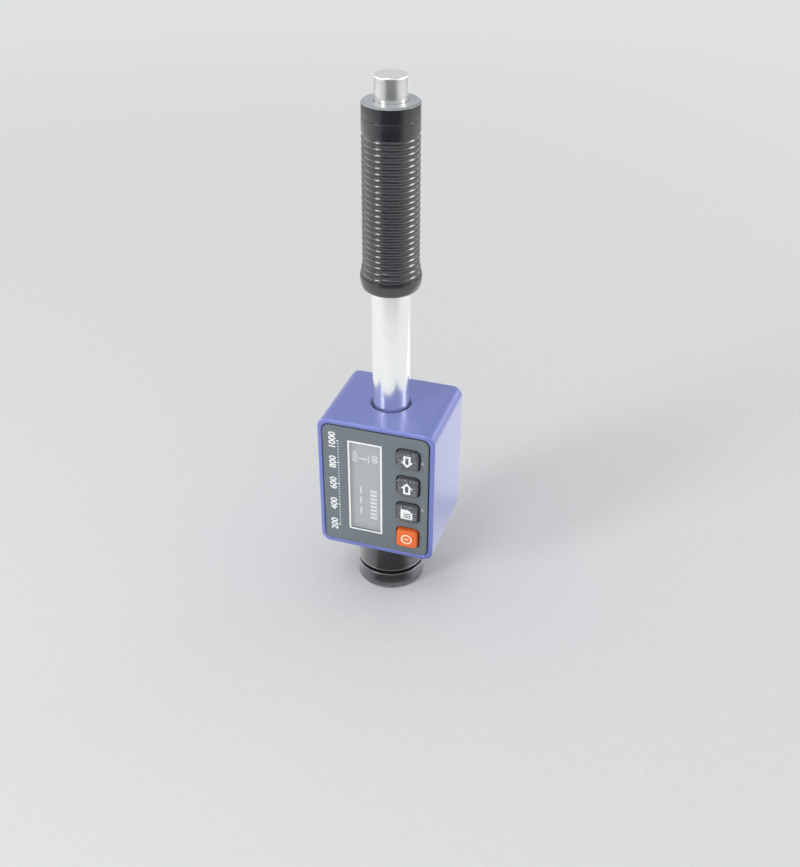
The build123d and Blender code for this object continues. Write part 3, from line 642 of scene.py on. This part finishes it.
# %% [markdown]
# The keys carry an arrow down, an arrow up, a page and an on and off sign.
# Each sign could be placed on the pen by its own numbers. Here it is drawn round the middle of its key and
# rides on it, so it follows the key's place and moves when the key is pressed.
# %% Prints on the keys
cream_ink = ink_of("cream_ink", (0.95, 0.85, 0.7))
SIGN_LINE = 0.6
ARROW_UP = [(-1.05, -1.85), (1.05, -1.85), (1.05, 0.0), (1.75, 0.0), (0.0, 1.85), (-1.75, 0.0), (-1.05, 0.0)]
ARROW_DOWN = [(-x, -z) for x, z in ARROW_UP]
PAGE = [(-1.7, -1.6), (1.7, -1.6), (1.7, 0.5), (0.5, 1.6), (-1.7, 1.6)]
PAGE_LINES = [rectangle(0.25, rise, 2.1, 0.3) for rise in (-1.0, -0.4, 0.2)]
ON_AND_OFF = [ring(0, 0, 1.6), ring(0, 0, 1.2), rectangle(0, 0, 1.3, 0.42)]


def sign(key, ink, outlines):
    """Outlines drawn round the middle of a key, printed on it."""
    low, high = [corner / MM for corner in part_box(key)]
    x, z = (low.x + high.x) / 2, (low.z + high.z) / 2
    placed = [[(x + a, z + b) for a, b in outline] for outline in outlines]
    print_on(key + "_sign", [filled(placed)], key, key, ink)


sign("key_down", white_ink, [ARROW_DOWN, inset(ARROW_DOWN, SIGN_LINE)])
sign("key_up", white_ink, [ARROW_UP, inset(ARROW_UP, SIGN_LINE)])
sign("key_page", white_ink, [PAGE] + PAGE_LINES)
sign("key_power", cream_ink, ON_AND_OFF)

# %% [markdown]
# The display shows a battery, an arrow on a surface, a count, three dashes for a missing reading and a row of
# bars. They stand upright when the pen is held with its nose to the left, so everything is turned a quarter.
# Dark segments could be printed on the glass. This display is lit from behind, so its segments are pale and
# glow a little.
# %% Marks on the display
segment_ink = ink_of("segment_ink", (0.45, 0.46, 0.47),
                     Emission_Color=(0.97, 0.98, 1, 1), Emission_Strength=0.5)
BATTERY_LINE = 0.2
BATTERY = rectangle(-6.3, 48.1, 1.5, 3.0)
CHARGE = [rectangle(-6.3, rise, 0.8, 0.5) for rise in (47.2, 48.0, 48.8)]
BATTERY_TIP = rectangle(-6.3, 49.8, 0.7, 0.35)
POINTER = [(-5.2, 47.65), (-3.6, 47.65), (-3.6, 47.25), (-2.7, 47.85),
           (-3.6, 48.45), (-3.6, 48.05), (-5.2, 48.05)]
SURFACE = rectangle(-2.3, 47.85, 0.35, 2.3)
DASHES = [rectangle(-4.7, rise, 0.4, 2.4) for rise in (30.1, 33.8, 37.2)]
BARS = [rectangle(-0.9, 28.2 + 1.3 * bar, 2.0, 0.8) for bar in range(8)]

shown = [filled([BATTERY, inset(BATTERY, BATTERY_LINE)] + CHARGE)]
shown.extend(filled([outline]) for outline in (BATTERY_TIP, POINTER, SURFACE))
shown.append(numeral("00", 1.7, -0.4, 48.3))
shown.extend(filled([outline]) for outline in DASHES + BARS)
print_on("display_marks", shown, "lcd_module", "housing", segment_ink)

# %% [markdown]
# The pen stands on a pale floor in a plain studio. A floor can be a photographed surface, but a plain sheet
# draws no attention.
# In the gloss of the pen the floor looks a little brighter, as a white table does: a Light Path node lifts it
# there. The lamps light only the floor near the pen, so far away it is lifted too and meets the sky without a
# dark band.
# %% Floor
FLOOR_SIZE = 20.0
FLOOR_LIFT, FAR_LIFT = 0.3, 0.21
FAR_START, FAR_END = 0.05, 0.75


def lay_flat(name, outline, height, material):
    """A flat sheet of that outline in metres, lying at that height. It is part of the studio."""
    mesh = bpy.data.meshes.new(name)
    mesh.from_pydata([(x, y, height) for x, y in outline], [], [range(len(outline))])
    mesh.materials.append(material)
    made = bpy.data.objects.new(name, mesh)
    scene.collection.objects.link(made)
    made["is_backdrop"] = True
    print(f"{name}: {len(outline)} corners, {height / MM:.1f} mm up")
    return made


pale = finish("pale_floor", (0.73, 0.73, 0.72), 0.5, Specular_IOR_Level=0.0, Emission_Color=(1, 1, 1, 1))
mottle(pale, noise(pale, 500, 3), (0.72, 0.72, 0.71), (0.74, 0.74, 0.73))
roughen(pale, noise(pale, 300, 3), 0.48, 0.56)
light_path = add_node(pale, "LightPath")
away = add_node(pale, "VectorMath")
away.operation = "LENGTH"
join(pale, add_node(pale, "TexCoord").outputs["Object"], away.inputs[0])
far = spread(pale, away.outputs["Value"], 0, FAR_LIFT, FAR_START, FAR_END)
seen = reckon(pale, "MULTIPLY", light_path.outputs["Is Camera Ray"], far)
mirrored = spread(pale, light_path.outputs["Is Glossy Ray"], 0, FLOOR_LIFT, 0, 1)
join(pale, reckon(pale, "ADD", seen, mirrored), shader_of(pale).inputs["Emission Strength"])
lay_flat("floor", rectangle(0, 0, FLOOR_SIZE, FLOOR_SIZE), 0, pale)

# %% [markdown]
# Low soft boxes left and right draw the bright dots on the ribs. A faint wide box in front joins the dots
# with thin lines, two dim wide ones at the sides carry the lines round, and two small ones draw the lines
# along the edges of the blue box.
# The right-hand box and the two at the sides show in the gloss alone, because their light would turn the
# blue box's side too blue.
# Lamps can be set by their power. Here it follows from how bright the face of a soft box should look, so
# that it can be made larger without growing brighter in the reflections. A grid on each keeps its light off
# the floor below.
# %% Lamps
LAMP_SPREAD = math.radians(45)


def lamp(name, turn, elevation, distance, width, height, glow, gloss_only=False):
    """A gridded soft box aimed at the middle of the pen. Turn is its angle to the right of the camera."""
    azimuth = CAMERA_AZIMUTH + math.radians(turn)
    tilt = math.radians(elevation)
    middle = (cad_box[0] + cad_box[1]) / 2
    towards = Vector((math.sin(azimuth), -math.cos(azimuth), 0)) * math.cos(tilt)
    towards.z = math.sin(tilt)
    data = bpy.data.lights.new(name, "AREA")
    data.shape = "RECTANGLE"
    data.size = width
    data.size_y = height
    data.spread = 2 * LAMP_SPREAD
    data.energy = glow * math.pi * width * height * (1 - LAMP_SPREAD / math.tan(LAMP_SPREAD))
    made = bpy.data.objects.new(name, data)
    made.location = middle + towards * distance
    made.rotation_euler = towards.to_track_quat("Z", "Y").to_euler()
    made.visible_camera = False
    made.visible_diffuse = not gloss_only
    scene.collection.objects.link(made)
    print(f"{name}: {data.energy:.2f} W")


lamp("left_box", turn=-54, elevation=20, distance=0.8, width=0.2, height=0.26, glow=16)
lamp("right_box", turn=90, elevation=20, distance=0.8, width=0.28, height=0.26, glow=12, gloss_only=True)
lamp("front_box", turn=15, elevation=24, distance=0.9, width=0.9, height=0.2, glow=1.2)
lamp("edge_box", turn=-33, elevation=62, distance=0.8, width=0.2, height=0.2, glow=6)
lamp("corner_box", turn=127, elevation=14, distance=0.9, width=0.3, height=0.12, glow=4)
lamp("left_wide", turn=-100, elevation=14, distance=0.9, width=1.0, height=0.4, glow=2.4, gloss_only=True)
lamp("right_wide", turn=80, elevation=14, distance=0.9, width=1.2, height=0.4, glow=1.8, gloss_only=True)

# %% [markdown]
# A soft sky gives light from all round. It is the world's background. A photographed sky could be wrapped
# round the scene, but a studio needs only a soft change of brightness from the horizon up, which is the
# height of the ray run through one ramp.
# %% Sky
SKY_COLOUR = (0.95, 0.97, 1, 1)
SKY_HORIZON, SKY_TOP = 0.71, 0.75
SKY_RAMP_END = 0.6
world = bpy.data.worlds.new("studio")
scene.world = world
world.use_nodes = True
sky = world.node_tree.nodes["Background"]
sky.inputs["Color"].default_value = SKY_COLOUR
ray = add_node(world, "TexCoord")
parts = add_node(world, "SeparateXYZ")
join(world, ray.outputs["Generated"], parts.inputs["Vector"])
brightness = spread(world, parts.outputs["Z"], SKY_HORIZON, SKY_TOP, 0, SKY_RAMP_END)
join(world, brightness, sky.inputs["Strength"])
print(f"sky from {SKY_HORIZON} at the horizon to {SKY_TOP}")

# %% [markdown]
# The box's right side is seen at a flat angle, where its gloss shows the floor beside it. A bright card there
# makes the side pale, as in a studio with a white table. It could be a lamp, but a card that shows only in
# reflections leaves the light on the pen and the floor as they are.
# %% Bright card
BRIGHT_CARD = (0.055, 0.09, 0.075, 0.1)
BRIGHT_HEIGHT = 0.6 * MM
BRIGHT_LIFT = 0.7


def only_mirrored(card):
    """The card shows in reflections and nowhere else."""
    card.visible_camera = False
    card.visible_diffuse = False
    card.visible_shadow = False
    card.visible_transmission = False
    card.visible_volume_scatter = False


bright = finish("bright_paint", (0.85, 0.85, 0.85), 0.8,
                Emission_Color=(1, 1, 1, 1), Emission_Strength=BRIGHT_LIFT)
mottle(bright, noise(bright, 500, 3), (0.83, 0.83, 0.83), (0.87, 0.87, 0.87))
only_mirrored(lay_flat("bright_card", rectangle(*BRIGHT_CARD), BRIGHT_HEIGHT, bright))

# %% [markdown]
# Shiny black shows what stands in front of it, and in an all-white studio it turns grey. Photographers lay
# dark and bright cards on the table round such a piece, so that it is dark in the middle and pale at its
# sides.
# Each card is a sector of a ring just over the floor, where one piece mirrors it: near for the nose, further
# out for the foot, the ribs and the cap of the grip, and for the button. One round card could do for all,
# but each piece needs its own brightness. A radial gradient gives the angle round the pen and a colour ramp
# the shade at that angle.
# %% Ring cards
CARD_HEIGHT = 0.5 * MM
# For each card its near edge, far edge, own shade and glow.
CARDS = {
    "nose_card": (11.5 * MM, 40 * MM, 0.02, 1.4),
    "foot_card": (210 * MM, 245 * MM, 0.02, 1.2),
    "grip_card": (245 * MM, 390 * MM, 0.02, 1.15),
    "cap_card": (390 * MM, 462 * MM, 0.02, 1.8),
    "button_card": (462 * MM, 700 * MM, 0.2, 0.3),
}
# The share of the glow at each angle, in degrees to the right of the camera.
CARD_SHADES = ((-150, 0.6), (-112, 1.0), (-92, 0.95), (-64, 0.6), (-40, 0.35), (-34, 0.01), (30, 0.01),
               (46, 0.3), (54, 0.65), (80, 0.7), (100, 0.85), (120, 0.8), (140, 0.4))
CARD_STEPS = 48


def card_edge(radius):
    """Points along one round edge of a card, from its left end to its right end."""
    start, end = CARD_SHADES[0][0], CARD_SHADES[-1][0]
    angles = [start + (end - start) * step / CARD_STEPS for step in range(CARD_STEPS + 1)]
    turns = [CAMERA_AZIMUTH + math.radians(angle) for angle in angles]
    return [(radius * math.sin(turn), -radius * math.cos(turn)) for turn in turns]


def card_paint(name, base, glow):
    """A grey paint of that base shade, which glows by the angle round the pen."""
    paint = finish(name, (base, base, base), 0.8, Emission_Strength=glow)
    place = add_node(paint, "TexCoord")
    turned_to_camera = add_node(paint, "Mapping", Rotation=(0, 0, math.pi / 2 - CAMERA_AZIMUTH))
    angle = add_node(paint, "TexGradient")
    angle.gradient_type = "RADIAL"
    ramp = add_node(paint, "ValToRGB")
    for turn, shade in CARD_SHADES:
        ramp.color_ramp.elements.new(0.5 + turn / 360).color = (shade, shade, shade, 1)
    join(paint, place.outputs["Object"], turned_to_camera.inputs["Vector"])
    join(paint, turned_to_camera.outputs["Vector"], angle.inputs["Vector"])
    join(paint, angle.outputs["Fac"], ramp.inputs["Fac"])
    join(paint, ramp.outputs["Color"], shader_of(paint).inputs["Emission Color"])
    return paint


for name, (near, far, base, glow) in CARDS.items():
    sector = card_edge(far) + card_edge(near)[::-1]
    only_mirrored(lay_flat(name, sector, CARD_HEIGHT, card_paint(name + "_paint", base, glow)))

# %% [markdown]
# The upper half of each rib shows the sky, which would turn the middle of the grip grey. The sky could be
# made darker there, but then it would light the pen less. Photographers stand a black flag in front of such
# a piece: here behind the front lamp, so that its thin line on the ribs stands out.
# %% Dark flag
FLAG_DISTANCE, FLAG_WIDTH, FLAG_HEIGHT = 1.0, 1.2, 0.36
felt = finish("flag_felt", (0.02, 0.02, 0.02), 0.9)
mottle(felt, noise(felt, 300, 3), (0.015, 0.015, 0.015), (0.025, 0.025, 0.025))
flag = lay_flat("flag", rectangle(0, FLAG_HEIGHT / 2, FLAG_WIDTH, FLAG_HEIGHT), 0, felt)
facing_pen = Matrix.Rotation(CAMERA_AZIMUTH, 4, "Z") @ FACE_FRONT
flag.matrix_world = Matrix.Translation(ahead * FLAG_DISTANCE) @ facing_pen
only_mirrored(flag)

# %% [markdown]
# Blender only dresses the CAD model and must not change its size. The box round everything shown is
# printed.
# %% Sizes and the end
shown_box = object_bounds()
for label, corner in zip(("from", "to"), shown_box):
    print("shown box", label, [round(value / MM, 2) for value in corner])
